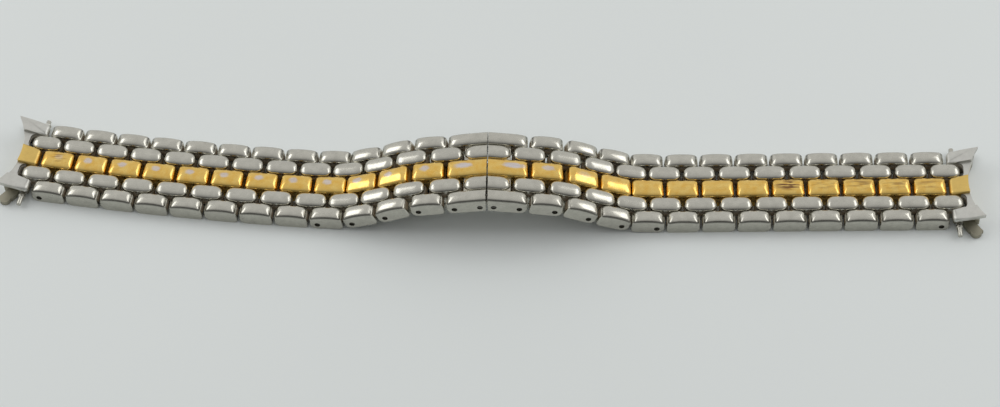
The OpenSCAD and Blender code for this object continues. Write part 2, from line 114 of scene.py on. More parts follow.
# Distances from the middle of a worn patch, as shares of its size
WORN_EDGE = (1.85, 1.25)
MARKS_EDGE = (2.4, 1.0)
FAR_AWAY = 4.0
# Turn of each layer of scratches and the level of noise above which they show
SCRATCH_LAYERS = ((0.05, 0.60), (0.65, 0.66), (-0.5, 0.67))
SCRATCH_FADE = 0.06
# How finely the noise behind scratches, brushing and dark marks is drawn on each axis
SCRATCH_GRAIN = (260.0, 5200.0, 5200.0)
BRUSHED_GRAIN = (900.0, 14000.0, 14000.0)
MARKS_GRAIN = (420.0, 3600.0, 800.0)
# Levels of noise, depths and roughness of the finishes
MARKS_LEVELS = (0.46, 0.57)
SMUDGE_LEVELS = (0.35, 0.7)
DENT_SCALE = 1300.0
SCRATCH_DEPTH = -0.25
RELIEF_METRES = 0.00003
GRIME_ROUGHNESS = 0.45
ROOM_STOPS = ((0.0, 0.04), (0.1, 0.17), (0.2, 0.34), (0.31, 0.5), (0.5, 0.66), (0.8, 0.74))
CLEAN = (0.0, 1.5, 1.0)
SCRAPED = {8: 1.0, 9: 0.35, 10: 0.6, 11: 0.5, OUTER_COUNT: 0.4}
CLASP_END_WEAR = {"right": (0.9, 3.9, 1.75), "left": (0.9, 3.6, 1.4)}


def length(name, description, millimetres):
    """A size that a user may change, shown in the scene's length unit."""
    return FloatProperty(
        name=name, description=description, default=millimetres * MM, min=0, unit="LENGTH", precision=5
    )


def angle(name, description, degrees):
    return FloatProperty(
        name=name, description=description, default=math.radians(degrees), subtype="ANGLE", unit="ROTATION"
    )


def share(name, description, default):
    return FloatProperty(name=name, description=description, default=default, min=0, max=1, subtype="FACTOR")


def colour(name, description, default):
    return FloatVectorProperty(
        name=name, description=description, default=default, size=3, min=0, max=1, subtype="COLOR"
    )


class StrapSizes(bpy.types.PropertyGroup):
    """Colours and wear of the strap's metals, with their painted shade and painted light."""

    strap_width: length("Strap width", "Width across all five rows", 14)
    gold_width: length("Gold width", "Width of the gold centre row", 3.42)
    brick_width: length("Brick width", "Width of each brick row beside the gold", 2.74)
    row_gap: length("Row gap", "Gap between neighbouring rows", 0.1)
    link_pitch: length("Link pitch", "Distance between two outer links along the strap", 5.75)
    end_gap: length("End gap", "Gap between two pieces of one row at pin height", 0.24)
    pin_height: length("Pin height", "Height of the pins over the underside", 0.92)
    edge_height: length("Edge height", "Height of the sharp edge on the outer side faces", 2.7)
    crown_height: length("Crown height", "Height of the domed tops", 3.15)
    shoulder_height: length("Shoulder height", "Height at which the inner rows begin to dome", 2.45)
    end_lean: angle("End lean", "Lean of the end faces above the pins", 5.4)
    end_run: length("End run", "Length over which a piece's top curves down to its end", 1.1)
    end_drop: length("End drop", "How far below the shoulder a piece's ends begin to curve in", 0.15)
    low_round: length("Case-side lower rounding", "Rounding of the lower corner on the case side", 0.85)
    inner_low_round: length("Clasp-side lower rounding", "Rounding of the lower corner on the clasp side", 0.3)
    brick_round: length("Brick end rounding", "Rounding of the brick pieces seen from above", 1.05)
    gold_round: length("Gold end rounding", "Rounding of the gold pieces seen from above", 0.6)
    side_round: length("Side end rounding", "Rounding of the side pieces seen from above", 0.6)
    edge_droop: length("Edge droop", "Drop of the side pieces' sharp edge towards its ends", 0.45)
    pin_radius: length("Pin radius", "Radius of the link pins", 0.45)
    turn_clear: length("Turning clearance", "Radial clearance of a pin that turns", 0.08)
    held_clear: length("Held clearance", "Radial clearance of a pin that is held fast", 0.012)
    pin_cover: length("Pin cover", "Metal left over a blind pin hole", 0.6)
    pin_recess: length("Pin recess", "Depth of a pin's end in a drilled hole", 0.3)
    terminal_reach: length("Clasp end reach", "Reach of a clasp end piece from the joint line", 6.65)
    terminal_tilt: angle("Clasp end slope", "Slope of the clasp end pieces", 7.8)
    clasp_gap: length("Clasp gap", "Gap between the two clasp end pieces", 0.2)
    blade_pin_x: length("Blade pin place", "Distance of the blade pin from the joint line", 1.05)
    slot_height: length("Slot height", "Height of the blade slot over the underside", 1.74)
    slot_width: length("Slot width", "Width of the blade slot", 5.9)
    cap_web: length("Cap web", "Thickness of the web under the gold cap", 0.4)
    case_radius: length("Case radius", "Radius of the watch case that the end fits", 12.5)
    case_reach: length("Case reach", "Distance of the case from the spring bar on the centre line", 1.85)
    last_end: length("Last brick reach", "Reach of the last brick pieces past the spring bar", 1)
    pocket_gap: length("Pocket gap", "Gap between the last bricks and the pocket floors", 0.15)
    horn_rise: length("Horn rise", "Rise of the end link's top from the strap to its horns", 1.3)
    plate_thick: length("Plate thickness", "Thickness of the end link's top plate", 0.75)
    wall_thick: length("Wall thickness", "Thickness of the wall that faces the case", 0.6)
    pocket_drop: length("Pocket drop", "Depth of the pocket floors below the raised bars", 0.5)
    ear_inset: length("Cheek inset", "Distance of the cheeks from the strap's sides", 1.1)
    gold_thick: length("Gold block thickness", "Thickness of the end link's gold block", 1.1)
    lip_lift: length("Lip lift", "Height of the lip over the table", 0.1)
    lip_set: length("Lip set", "Distance of the lug tongues from the case's edge", 0.65)
    tongue_reach: length("Tongue reach", "Reach of the lug tongues past each side", 1.8)
    tongue_width: length("Tongue width", "Width of the lug tongues", 1.9)
    tongue_thick: length("Tongue thickness", "Thickness of the lug tongues", 0.8)
    bar_radius: length("Bar radius", "Radius of the spring bar's tube", 0.6)
    nose_round: length("Nose rounding", "Rounding of the end link's noses seen from the side", 0.5)
    ear_round: length("Ear rounding", "Rounding of the raised bars' corners seen from above", 0.7)
    neck_radius: length("Neck radius", "Radius of the spring bar's necks", 0.24)
    tube_inset: length("Tube inset", "Distance of the tube's ends from the strap's sides", 0.5)
    flange_width: length("Flange width", "Width of the spring bar's necks and flanges", 0.4)
    tip_radius: length("Tip radius", "Radius of the spring bar's tips", 0.4)
    tip_reach: length("Tip reach", "Reach of the tips past the strap's sides", 1.9)


class StrapFinish(bpy.types.PropertyGroup):
    """Colours and wear of the strap's metals."""

    steel: colour("Steel", "Polished steel of the links", (0.575, 0.56, 0.495))
    satin: colour("Satin steel", "Brushed steel of the end links", (0.70, 0.695, 0.645))
    # A darker, browner colour for the end links' lowest parts
    dull: colour("Darker foot", "Darker, browner colour low on the end links", (0.34, 0.32, 0.25))
    gold: colour("Gold plate", "Plating of the centre row", (0.86, 0.605, 0.19))
    deep_gold: colour("Deep gold", "Warmer tone in the plating", (0.80, 0.49, 0.11))
    bare: colour("Bare metal", "Base metal where the plating has worn through", (0.68, 0.65, 0.68))
    grime: colour("Grime", "Dirt in the gaps between the links", (0.34, 0.27, 0.18))
    gold_grime: colour("Gold grime", "Dirt at the foot of the gold pieces", (0.30, 0.21, 0.08))
    # Painted shade: the dark line painted along the side pieces' edge, standing in for the dark reflection
    # there
    crease: colour("Painted crease shade", "Dark line along the edges of the side pieces", (0.03, 0.027, 0.022))
    scrape: colour("Scrape", "Dark marks where the plating was scraped", (0.16, 0.07, 0.04))
    # Painted light: the pale tone without shine painted on the pocket floors between the raised bars
    sheltered: colour("Painted pocket light", "Painted light: pale tone without shine between the raised bars", (0.62, 0.58, 0.5))
    scratches: share("Scratches", "Strength of the fine scratches", 0.5)
    smudges: share("Smudges", "Strength of the smudges on the polished faces", 0.5)


class StrapStage(bpy.types.PropertyGroup):
    """Floor, light and camera."""

    floor: colour("Floor", "Colour of the floor", (0.80, 0.835, 0.822))
    room: colour("Room", "Colour of the light from all round", (1.0, 1.0, 1.0))
    room_strength: FloatProperty(
        name="Room light", description="Strength of the light from all round", default=1.0, min=0
    )
    lamp_power: FloatProperty(
        name="Soft boxes", description="Power of each soft box", default=0.32, min=0, unit="POWER"
    )
    lamp_place: FloatVectorProperty(
        name="Soft box place",
        description="Where the right soft box hangs; the left one mirrors it",
        default=(0.31, 0.09, 0.255),
        size=3,
        subtype="TRANSLATION",
        unit="LENGTH",
    )
    lamp_width: length("Soft box width", "Width of each soft box", 320)
    lamp_height: length("Soft box height", "Height of each soft box", 190)
    camera_place: FloatVectorProperty(
        name="Camera place",
        description="Where the camera stands",
        default=(0.013639, -0.28418, 0.366456),
        size=3,
        subtype="TRANSLATION",
        unit="LENGTH",
    )
    camera_elevation: angle("Camera elevation", "Angle by which the camera looks down", 52.653)
    camera_azimuth: angle("Camera azimuth", "Turn of the camera to the right", -2.348)
    camera_roll: angle("Camera roll", "Roll of the camera about its own line of sight", -2.392)
    camera_lens: FloatProperty(
        name="Lens", description="Focal length of the camera", default=101.24, min=1, unit="CAMERA"
    )


def in_millimetres(group):
    """The group's sizes as plain millimetres, and its other values as they are."""
    values = {}
    for prop in group.bl_rna.properties:
        if prop.identifier not in ("rna_type", "name"):
            value = getattr(group, prop.identifier)
            values[prop.identifier] = value / MM if prop.unit == "LENGTH" else value
    return SimpleNamespace(**values)


def strap_sizes():
    """All sizes in millimetres, with those that follow from them."""
    s = in_millimetres(bpy.context.scene.strap_sizes)
    s.half_pitch = s.link_pitch / 2
    s.piece_end = s.link_pitch / 4 - s.end_gap / 2
    s.side_width = (s.strap_width - s.gold_width) / 2 - s.brick_width - 2 * s.row_gap
    s.brick_y = s.gold_width / 2 + s.row_gap + s.brick_width / 2
    s.bar_y = s.strap_width / 2
    s.foot = -s.pin_height
    s.crown = s.crown_height - s.pin_height
    s.edge = s.edge_height - s.pin_height
    s.shoulder = s.shoulder_height - s.pin_height
    s.turn_radius = s.pin_radius + s.turn_clear
    s.held_radius = s.pin_radius + s.held_clear
    s.blind_y = s.bar_y - s.pin_cover
    s.through_y = s.bar_y + 1
    s.pin_end_y = s.bar_y - s.pin_recess
    s.terminal_pin_x = s.terminal_reach - s.link_pitch / 4
    s.half_brick_end = s.terminal_pin_x - s.piece_end - s.end_gap
    s.web_top = s.slot_height + s.cap_web - s.pin_height
    s.ear_in = s.bar_y - s.side_width
    s.cheek_y = s.bar_y - s.ear_inset
    s.under = s.lip_lift - s.pin_height
    s.case_centre = s.case_reach + s.case_radius
    s.horn_x = s.case_centre - math.sqrt(s.case_radius**2 - s.bar_y**2)
    s.ear_x0 = s.edge * math.tan(s.end_lean) - s.piece_end
    s.horn_slope = s.horn_rise / (s.horn_x + s.piece_end)
    s.floor_height = s.edge_height - s.pocket_drop
    s.pocket_x = s.last_end + s.end_gap + s.pocket_gap
    s.scoop_round = s.brick_round - s.row_gap
    s.tongue_middle = s.case_radius + s.lip_set + s.tongue_width / 2
    return s


def hinge_point(half, number):
    return Vector(JOINTS[f"{half}_hinge_{number:02d}"]["pos_m"])


def heading(half, segment):
    """Unit vector along a segment of the strap, away from the clasp."""
    if segment == 0:
        start = Vector(JOINTS[f"{half}_terminal_hinge"]["pos_m"])
        return (hinge_point(half, 1) - start).normalized()
    first = min(segment, LAST_SEGMENT - 1)
    return (hinge_point(half, first + 1) - hinge_point(half, first)).normalized()


def place_of(half, segment, sizes):
    """Matrix that lays a piece drawn in millimetres at its first pin in its place in the strap."""
    out = heading(half, segment)
    across = Vector(JOINTS[f"{half}_hinge_{max(segment, 1):02d}"]["axis"]).normalized()
    up = out.cross(across) if half == "right" else across.cross(out)
    if segment == 0:
        origin = hinge_point(half, 1) - sizes.terminal_pin_x * MM * out
    else:
        origin = hinge_point(half, segment)
    columns = [MM * out, MM * across, MM * up, origin]
    rows = [[column[axis] for column in columns] for axis in range(3)]
    return Matrix(rows + [[0, 0, 0, 1]])


def deselect():
    if bpy.context.object and bpy.context.object.mode != "OBJECT":
        bpy.ops.object.mode_set(mode="OBJECT")
    bpy.ops.object.select_all(action="DESELECT")


def only(piece):
    deselect()
    piece.select_set(True)
    bpy.context.view_layer.objects.active = piece


def edit(piece):
    only(piece)
    bpy.ops.object.mode_set(mode="EDIT")
    bpy.ops.mesh.select_mode(type="VERT")


def done():
    bpy.ops.object.mode_set(mode="OBJECT")


def pick(test):
    """Selects, in edit mode, what lies wholly on vertices whose place passes the test."""
    bpy.ops.mesh.select_all(action="DESELECT")
    mesh = bmesh.from_edit_mesh(bpy.context.object.data)
    for vertex in mesh.verts:
        vertex.select = test(vertex.co)
    mesh.select_flush(True)
    mesh.select_flush(False)
    bmesh.update_edit_mesh(bpy.context.object.data)


def pick_edges(test):
    """Selects, in edit mode, the edges whose two ends pass the test together."""
    bpy.ops.mesh.select_mode(type="EDGE")
    bpy.ops.mesh.select_all(action="DESELECT")
    mesh = bmesh.from_edit_mesh(bpy.context.object.data)
    for edge in mesh.edges:
        edge.select = test(*[vertex.co for vertex in edge.verts])
    bmesh.update_edit_mesh(bpy.context.object.data)


def recalculate():
    bpy.ops.mesh.select_all(action="SELECT")
    bpy.ops.mesh.remove_doubles(threshold=0.0005)
    bpy.ops.mesh.normals_make_consistent(inside=False)


def applied():
    """The object just made, with its place, turn and size in its mesh."""
    bpy.ops.object.transform_apply(location=True, rotation=True, scale=True)
    return bpy.context.object


def box(x0, x1, y0, y1, z0, z1):
    deselect()
    bpy.ops.mesh.primitive_cube_add(
        size=1,
        location=((x0 + x1) / 2, (y0 + y1) / 2, (z0 + z1) / 2),
        scale=(x1 - x0, y1 - y0, z1 - z0),
    )
    return applied()


def rod(x, z, y0, y1, radius, sides=32):
    """A round rod that lies across the strap."""
    deselect()
    bpy.ops.mesh.primitive_cylinder_add(
        vertices=sides,
        radius=radius,
        depth=y1 - y0,
        location=(x, (y0 + y1) / 2, z),
        rotation=(math.pi / 2, 0, 0),
    )
    return applied()


def post(x, y, z0, z1, radius, sides=128):
    """A round post that stands upright."""
    deselect()
    bpy.ops.mesh.primitive_cylinder_add(
        vertices=sides, radius=radius, depth=z1 - z0, location=(x, y, (z0 + z1) / 2)
    )
    return applied()


def combine(piece, tool, operation):
    """Adds the tool to the piece, or cuts or keeps what it covers, and removes the tool."""
    modifier = piece.modifiers.new(operation.title(), "BOOLEAN")
    modifier.operation = operation
    modifier.solver = "EXACT"
    modifier.object = tool
    only(piece)
    bpy.ops.object.modifier_apply(modifier=modifier.name)
    bpy.data.objects.remove(tool)
    return piece


def cut(piece, tool):
    return combine(piece, tool, "DIFFERENCE")


def join(piece, tool):
    return combine(piece, tool, "UNION")


def keep(piece, tool):
    return combine(piece, tool, "INTERSECT")


def soften(piece, width):
    """Rounds every sharp edge."""
    modifier = piece.modifiers.new("Soften", "BEVEL")
    modifier.width = width
    modifier.segments = 2
    modifier.limit_method = "ANGLE"
    modifier.angle_limit = math.radians(30)
    only(piece)
    bpy.ops.object.modifier_apply(modifier=modifier.name)


def copied(piece):
    other = piece.copy()
    other.data = piece.data.copy()
    bpy.context.scene.collection.objects.link(other)
    return other


def mirrored(piece):
    """A copy on the other side of the strap's middle line."""
    other = copied(piece)
    other.data.transform(Matrix.Diagonal((1, -1, 1, 1)))
    other.data.flip_normals()
    return other


def grouped(first, second):
    """Two loose pieces as one object."""
    only(first)
    second.select_set(True)
    bpy.ops.object.join()
    return first


def finish_template(piece):
    """Smooths a modelled piece, keeps each vertex's place in its link for the finishes, and marks where the
    painted crease shade goes.
    """
    edit(piece)
    recalculate()
    done()
    bpy.ops.object.shade_smooth_by_angle(angle=SMOOTH_BELOW)
    places = piece.data.attributes.new(PLACE_IN_LINK, "FLOAT_VECTOR", "POINT")
    for place, vertex in zip(places.data, piece.data.vertices):
        place.vector = vertex.co
    mark_painted_crease_shade(piece.data)
    piece.hide_render = True
    return piece


def mark_painted_crease_shade(mesh):
    """Marks the vertices near the edge where an outer side face meets the domed top, where a dark line of
    painted shade goes.
    """
    outer = strap_sizes().bar_y - 0.003
    points = [vertex.co for vertex in mesh.vertices]
    crest = {}
    for edge in mesh.edges:
        low, high = sorted((points[v] for v in edge.vertices), key=lambda co: co.z)
        if abs(low.y) > outer > abs(high.y) and low.z > 0.5 and high.z - low.z > 0.01:
            crest[round(low.x, 2)] = max(low.z, crest.get(round(low.x, 2), low.z))
    xs = sorted(crest)
    layer = mesh.attributes.new(PAINTED_CREASE_SHADE, "FLOAT", "POINT")
    for value, co in zip(layer.data, points):
        if xs and abs(co.y) > outer - PAINTED_CREASE_SPREAD:
            nearest = min(xs, key=lambda x: abs(x - co.x))
            if abs(nearest - co.x) < PAINTED_CREASE_SPREAD:
                value.value = max(0.0, 1 - abs(co.z - crest[nearest]) / PAINTED_CREASE_REACH)


def lay(template, node, part, place, slot, metal, worn=CLEAN, scratched=0.0):
    """Copies a modelled piece to its place in the strap, on the body of the CAD node that it stands for.

    worn is how far the plating is worn through, where along the piece, and over what half length."""
    name = f"{node}_{part}"
    piece = bpy.data.objects.new(name, template.data.copy())
    piece.data.name = name
    bpy.context.scene.collection.objects.link(piece)
    piece.data.transform(place)
    if place.determinant() < 0:
        piece.data.flip_normals()
    count = len(piece.data.vertices)
    piece.data.attributes.new(WORN, "FLOAT_VECTOR", "POINT").data.foreach_set("vector", list(worn) * count)
    piece.data.attributes.new(SCRATCHED, "FLOAT", "POINT").data.foreach_set("value", [scratched] * count)
    piece.data.materials.clear()
    piece.data.materials.append(finishes()[metal])
    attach(piece, frame["nodes"][node]["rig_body"])
    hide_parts(node)


def discard(*templates):
    for template in templates:
        mesh = template.data
        bpy.data.objects.remove(template)
        bpy.data.meshes.remove(mesh)


def corner_inset(height, radius):
    """How far a rounded corner stands back at a height over where it starts."""
    return radius - math.sqrt(radius**2 - (radius - height) ** 2) if height < radius else 0.0


def end_inset(sizes, z):
    """How far the end of a domed piece stands back at a height, on an oval that meets the crown."""
    start = sizes.shoulder - sizes.end_drop
    up = min(1.0, max(0.0, (z - start) / (sizes.crown - start)))
    return sizes.end_run * (1 - math.sqrt(1 - up**2))


def dome_share(z, shoulder, crown):
    """Half width that is left at a height of a domed row, as a share of the row's half width."""
    return 1.0 if z <= shoulder else math.sqrt(max(0.0, 1 - ((z - shoulder) / (crown - shoulder)) ** 2))


def ring_heights(sizes, shoulders):
    """Heights at which a domed piece gets a ring, closer together where it turns faster."""
    levels = [sizes.foot + sizes.low_round * (1 - math.cos(math.radians(a))) for a in FOOT_TURNS]
    levels += [0.0, sizes.shoulder - sizes.end_drop]
    for shoulder in shoulders:
        levels += [shoulder + (sizes.crown - shoulder) * math.sin(math.radians(a)) for a in DOME_TURNS]
    levels.sort()
    kept = [levels[0]]
    for level in levels[1:]:
        if level - kept[-1] > CLOSEST_RINGS:
            kept.append(level)
    return kept


def raised_block(rings, low_y_round, high_y_round, joint_end):
    """Raises a block ring by ring from its foot. Each ring is z, x0, x1, y0, y1."""
    deselect()
    bpy.ops.mesh.primitive_plane_add(size=1, location=(0, 0, 0))
    block = bpy.context.object
    edit(block)
    z, x0, x1, y0, y1 = rings[0]
    bpy.ops.mesh.select_all(action="SELECT")
    bpy.ops.transform.resize(value=(x1 - x0, y1 - y0, 1), center_override=(0, 0, 0))
    bpy.ops.transform.translate(value=((x0 + x1) / 2, (y0 + y1) / 2, z))
    for radius, side in ((low_y_round, y0), (high_y_round, y1)):
        for end in (x1,) if joint_end else (x0, x1):
            pick(lambda co: abs(co.x - end) < 0.001 and abs(co.y - side) < 0.001)
            bpy.ops.mesh.bevel(
                offset=radius, offset_type="OFFSET", segments=7, affect="VERTICES", profile=0.5
            )
    # The outline's two long sides are divided, so that they can be bent
    pick_edges(lambda a, b: abs(a.x - b.x) > 1 and abs(a.y - b.y) < 0.001)
    bpy.ops.mesh.subdivide(number_cuts=LONG_SIDE_CUTS)
    bpy.ops.mesh.select_mode(type="FACE")
    bpy.ops.mesh.select_all(action="SELECT")
    for (z0, a0, b0, c0, d0), (z1, a1, b1, c1, d1) in zip(rings, rings[1:]):
        shift = ((a1 + b1 - a0 - b0) / 2, (c1 + d1 - c0 - d0) / 2, z1 - z0)
        bpy.ops.mesh.extrude_region_move(TRANSFORM_OT_translate={"value": shift})
        grown = ((b1 - a1) / (b0 - a0), (d1 - c1) / (d0 - c0), 1)
        bpy.ops.transform.resize(value=grown, center_override=((a1 + b1) / 2, (c1 + d1) / 2, z1))
    recalculate()
    done()
    return block


def link_rings(sizes, x0, x1, y0, y1, low_shoulder, high_shoulder, joint_face):
    """Rings of a domed link piece. It starts to dome at low_shoulder on y0 and at high_shoulder on y1."""
    rings = []
    middle = (y0 + y1) / 2
    for z in ring_heights(sizes, {low_shoulder, high_shoulder}):
        rise = z - sizes.foot
        lean = max(0.0, z) * math.tan(sizes.end_lean) + end_inset(sizes, z)
        if joint_face is None:
            start = x0 + corner_inset(rise, sizes.inner_low_round) + lean
        else:
            start = joint_face - z * math.tan(sizes.terminal_tilt)
            start += corner_inset(sizes.crown - z, JOINT_ROUND)
            start += corner_inset(rise, sizes.inner_low_round)
        end = x1 - corner_inset(rise, sizes.low_round) - lean
        low_share = max(THINNEST_SHARE, dome_share(z, low_shoulder, sizes.crown))
        high_share = max(THINNEST_SHARE, dome_share(z, high_shoulder, sizes.crown))
        rings.append((z, start, end, middle - (middle - y0) * low_share, middle + (y1 - middle) * high_share))
    return rings


def droop_edge(piece, sizes, x0, x1, joint_end):
    """Lets the sharp edge of a side piece sink towards its free ends in an arc."""
    from_z = sizes.shoulder - DROOP_START
    for vertex in piece.data.vertices:
        x, _, z = vertex.co
        along = 2 * (x - x0) / (x1 - x0) - 1
        if z > from_z and not (joint_end and along < 0):
            up = min(1.0, (z - from_z) / (sizes.edge - from_z))
            vertex.co.z = z - sizes.edge_droop * up * min(1.0, abs(along)) ** 2.5


def row_piece(sizes, x0, x1, row, joint_face=None):
    """A domed piece of one row: gold, brick or front side."""
    if row == "gold":
        y0, y1, radii = -sizes.gold_width / 2, sizes.gold_width / 2, (sizes.gold_round, sizes.gold_round)
        shoulders = (sizes.shoulder, sizes.shoulder)
    elif row == "brick":
        y0, y1 = -sizes.brick_y - sizes.brick_width / 2, -sizes.brick_y + sizes.brick_width / 2
        radii, shoulders = (sizes.brick_round, sizes.brick_round), (sizes.shoulder, sizes.shoulder)
    else:
        y0, y1 = -sizes.bar_y, -sizes.bar_y + sizes.side_width
        radii, shoulders = (sizes.side_round / 2, sizes.side_round), (sizes.edge, sizes.shoulder)
    joint_end = joint_face is not None
    piece = raised_block(link_rings(sizes, x0, x1, y0, y1, *shoulders, joint_face), *radii, joint_end)
    if row == "side":
        droop_edge(piece, sizes, x0, x1, joint_end)
    return piece


def outer_pieces(sizes):
    """The modelled side and gold pieces of an outer link, and its two pins."""
    x0, x1 = -sizes.piece_end, sizes.half_pitch + sizes.piece_end
    side = row_piece(sizes, x0, x1, "side")
    drilled = copied(side)
    gold = row_piece(sizes, x0, x1, "gold")
    for piece, reach in ((side, sizes.blind_y), (drilled, sizes.through_y)):
        cut(piece, rod(0, 0, -sizes.blind_y, 0, sizes.held_radius))
        cut(piece, rod(sizes.half_pitch, 0, -reach, 0, sizes.held_radius))
    for x in (0, sizes.half_pitch):
        cut(gold, rod(x, 0, -sizes.gold_width, sizes.gold_width, sizes.held_radius))
    hidden_end = sizes.blind_y - PIN_PLAY
    made = {"side": side, "back": mirrored(side), "drilled": drilled, "gold": gold}
    for name, front in (("pins", hidden_end), ("open_pins", sizes.pin_end_y)):
        made[name] = grouped(pin(sizes, 0, hidden_end), pin(sizes, sizes.half_pitch, front))
    return {name: finish_template(piece) for name, piece in made.items()}


def pin(sizes, x, front):
    """A link pin with rounded ends."""
    back = sizes.blind_y - PIN_PLAY
    piece = rod(x, 0, -front, back, sizes.pin_radius, sides=24)
    edit(piece)
    bpy.ops.mesh.select_mode(type="EDGE")
    for test in (lambda co: co.y < -front + 0.01, lambda co: co.y > back - 0.01):
        pick(test)
        bpy.ops.mesh.bevel(offset=PIN_ROUND, segments=3, affect="EDGES")
    done()
    return piece


def brick_pair(sizes, last):
    """The two brick pieces of an inner link, bored for their pins."""
    end = sizes.last_end if last else sizes.piece_end
    front = row_piece(sizes, -sizes.piece_end, sizes.half_pitch + end, "brick")
    far_radius = sizes.bar_radius + sizes.turn_clear if last else sizes.turn_radius
    cut(front, rod(0, 0, -sizes.bar_y, 0, sizes.turn_radius))
    cut(front, rod(sizes.half_pitch, 0, -sizes.bar_y, 0, far_radius))
    back = mirrored(front)
    return finish_template(front), finish_template(back)


def clasp_end_pieces(sizes):
    """The clasp end piece's steel body, its gold cap and its two pins."""
    face, end = sizes.clasp_gap / 2, sizes.terminal_pin_x + sizes.piece_end
    rows = []
    for row, reach in (("side", end), ("brick", sizes.half_brick_end)):
        front = row_piece(sizes, face, reach, row, face)
        rows += [front, mirrored(front)]
    side_middle = sizes.bar_y - sizes.side_width / 2
    body = box(face, sizes.half_brick_end, -side_middle, side_middle, sizes.foot, sizes.web_top)
    edit(body)
    tilt = math.tan(sizes.terminal_tilt)
    pick(lambda co: co.x < face + 0.01 and co.z > 0)
    bpy.ops.transform.translate(value=(-sizes.web_top * tilt + 0.01, 0, 0))
    pick(lambda co: co.x < face + 0.01 and co.z < 0)
    bpy.ops.transform.translate(value=(sizes.pin_height * tilt + sizes.inner_low_round, 0, 0))
    done()
    soften(body, JOINT_ROUND)
    for row in rows:
        join(body, row)
    slot_end, slot_y, low = sizes.half_brick_end + sizes.end_gap, sizes.slot_width / 2, sizes.foot - 1
    cut(body, box(-1, slot_end, -slot_y, slot_y, low, sizes.slot_height - sizes.pin_height))
    for x in (sizes.blade_pin_x, sizes.terminal_pin_x):
        cut(body, rod(x, 0, -sizes.through_y, sizes.blind_y, sizes.held_radius))
    cap = row_piece(sizes, face, end, "gold", face)
    cap_start, cap_y = sizes.half_brick_end + sizes.end_gap / 2, sizes.gold_width
    cut(cap, box(-1, cap_start, -cap_y, cap_y, low, sizes.web_top + 0.02))
    cut(cap, rod(sizes.terminal_pin_x, 0, -cap_y, cap_y, sizes.held_radius))
    blade_pin = pin(sizes, sizes.blade_pin_x, sizes.pin_end_y + BLADE_PIN_FORWARD)
    pins = grouped(blade_pin, pin(sizes, sizes.terminal_pin_x, sizes.pin_end_y))
    return finish_template(body), finish_template(cap), finish_template(pins)


def top_height(sizes, x, height):
    return height - sizes.pin_height + (x + sizes.piece_end) * sizes.horn_slope


def sloped_plate(sizes, x0, x1, y0, y1, height, thick, nose, corners=(0.02, 0.02)):
    """A flat bar whose top rises towards the case, with a rounded nose and corners on the strap's side."""
    low = top_height(sizes, x0, height)
    rise = (x1 - x0) * sizes.horn_slope
    plate = box(x0, x1, y0, y1, low - thick, low)
    edit(plate)
    bpy.ops.mesh.select_mode(type="EDGE")
    for side, radius in zip((y0, y1), corners):
        pick(lambda co: co.x < x0 + 0.001 and abs(co.y - side) < 0.001)
        bpy.ops.mesh.bevel(offset=radius, segments=6, affect="EDGES")
    reach = max(corners) + 0.01
    pick_edges(lambda *ends: all(co.x < x0 + reach and co.z > low - thick / 2 for co in ends))
    bpy.ops.mesh.bevel(offset=nose, segments=5, affect="EDGES")
    done()
    for vertex in plate.data.vertices:
        vertex.co.z += rise * (vertex.co.x - x0) / (x1 - x0)
    return plate


def scooped_floor(sizes):
    """The pocket floors, hollowed out round the ends of the last brick pieces."""
    s = sizes
    start, half = s.pocket_x - s.scoop_round, s.ear_in + 0.01
    floor = sloped_plate(s, start, s.horn_x + 1, -half, half, s.floor_height, s.plate_thick, 0.01)
    for sign in (-1, 1):
        scoop = box(-5, s.pocket_x, *sorted((sign * s.gold_width / 2, sign * s.ear_in)), *FAR_DOWN_AND_UP)
        edit(scoop)
        pick_edges(lambda a, b: a.x > 0 and b.x > 0 and abs(a.z - b.z) > 1)
        bpy.ops.mesh.bevel(offset=s.scoop_round, segments=12, affect="EDGES")
        done()
        cut(floor, scoop)
    return floor


def ring_wall(sizes, inner, outer, z0, z1):
    """A full ring round the watch case's middle, later trimmed to its stretch."""
    return cut(post(sizes.case_centre, 0, z0, z1, outer), post(sizes.case_centre, 0, z0 - 1, z1 + 1, inner))


def tongue(sizes):
    """The tongue that reaches past the side under the raised bar, bent like the case."""
    z0, z1 = sizes.under, sizes.under + sizes.tongue_thick
    middle, half = sizes.tongue_middle, sizes.tongue_width / 2
    tip_y = sizes.bar_y + sizes.tongue_reach - half
    ring = ring_wall(sizes, middle - half, middle + half, z0, z1)
    keep(ring, box(-2, sizes.case_centre, -tip_y, -sizes.ear_in, z0 - 1, z1 + 1))
    tip_x = sizes.case_centre - math.sqrt(middle**2 - tip_y**2)
    return join(ring, post(tip_x, -tip_y, z0, z1, half, sides=48))


def cut_case_and_bar(sizes, piece, half_width):
    """Cuts a piece of the end link to the round case and bores it for the spring bar."""
    cut(piece, post(sizes.case_centre, 0, *FAR_DOWN_AND_UP, sizes.case_radius, sides=256))
    cut(piece, rod(0, 0, -half_width, half_width, sizes.bar_radius + sizes.held_clear, sides=48))


